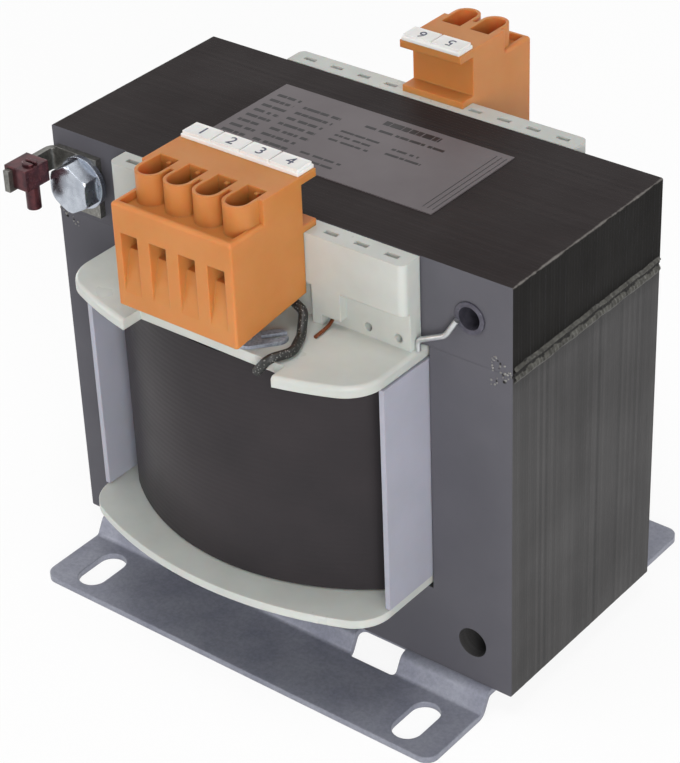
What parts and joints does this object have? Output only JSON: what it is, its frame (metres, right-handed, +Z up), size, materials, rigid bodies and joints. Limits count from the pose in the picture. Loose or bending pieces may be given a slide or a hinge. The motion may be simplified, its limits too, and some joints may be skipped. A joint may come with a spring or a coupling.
{
  "type": "control transformer",
  "caption": "Open-frame single-phase control transformer with a wound bobbin in a welded laminated core, plug-on terminal blocks, earth terminal and slotted folded feet.",
  "frame": {"origin": "on the mounting surface under the middle of the core, at the soles of the feet", "axes": "+X along the core towards the screen wire, -Y towards the block with more poles, +Z up from the feet"},
  "size_m": [0.1221, 0.1108, 0.1198],
  "materials": {
    "core_laminations": "dark impregnating varnish on stacked silicon steel, semi-gloss",
    "weld_steel": "rippled weld bead under varnish",
    "foot_steel": "zinc-plated folded sheet under a thin varnish",
    "bobbin_nylon": "pale glass-filled nylon, moulded",
    "liner_board": "lavender-grey insulating sheet",
    "winding_copper": "enamelled copper wire",
    "insulation_film": "polyester film",
    "wrap_tape": "dark polyester wrap, semi-gloss",
    "housing_orange": "orange moulded polyamide, satin",
    "marker_white": "white moulded strip, blank",
    "zinc_steel": "bright zinc plating",
    "pin_tin": "tinned pin",
    "label_foil": "grey foil label, blank, satin",
    "clamp_maroon": "dark red lacquered steel",
    "sleeve_black": "black insulating sleeve",
    "wire_copper": "bare tinned copper wire"
  },
  "bodies": {
    "root": {"e_core_stack": "core_laminations", "i_core_stack": "core_laminations", "weld_bead_left": "weld_steel", "weld_bead_right": "weld_steel", "foot_bracket_front": "foot_steel", "foot_bracket_rear": "foot_steel", "coil_bobbin": "bobbin_nylon", "primary_winding": "winding_copper", "interwinding_insulation": "insulation_film", "secondary_winding": "winding_copper", "outer_wrap": "wrap_tape", "window_liner_left": "liner_board", "window_liner_right": "liner_board", "front_terminal_housing": "housing_orange", "front_clamp_cages": "zinc_steel", "front_clamp_screws": "zinc_steel", "front_terminal_pins": "pin_tin", "front_marker_strip": "marker_white", "rear_terminal_housing": "housing_orange", "rear_clamp_cages": "zinc_steel", "rear_clamp_screws": "zinc_steel", "rear_terminal_pins": "pin_tin", "rear_marker_strip": "marker_white", "rating_label": "label_foil", "earth_plate": "zinc_steel", "earth_washer": "zinc_steel", "earth_bolt": "zinc_steel", "earth_nut": "zinc_steel", "earth_clamp": "clamp_maroon", "earth_clamp_screw": "clamp_maroon", "screen_eyelet": "zinc_steel", "screen_wire": "wire_copper", "front_lead_sleeve": "sleeve_black", "front_solder_tag": "zinc_steel"}
  },
  "joints": []
}
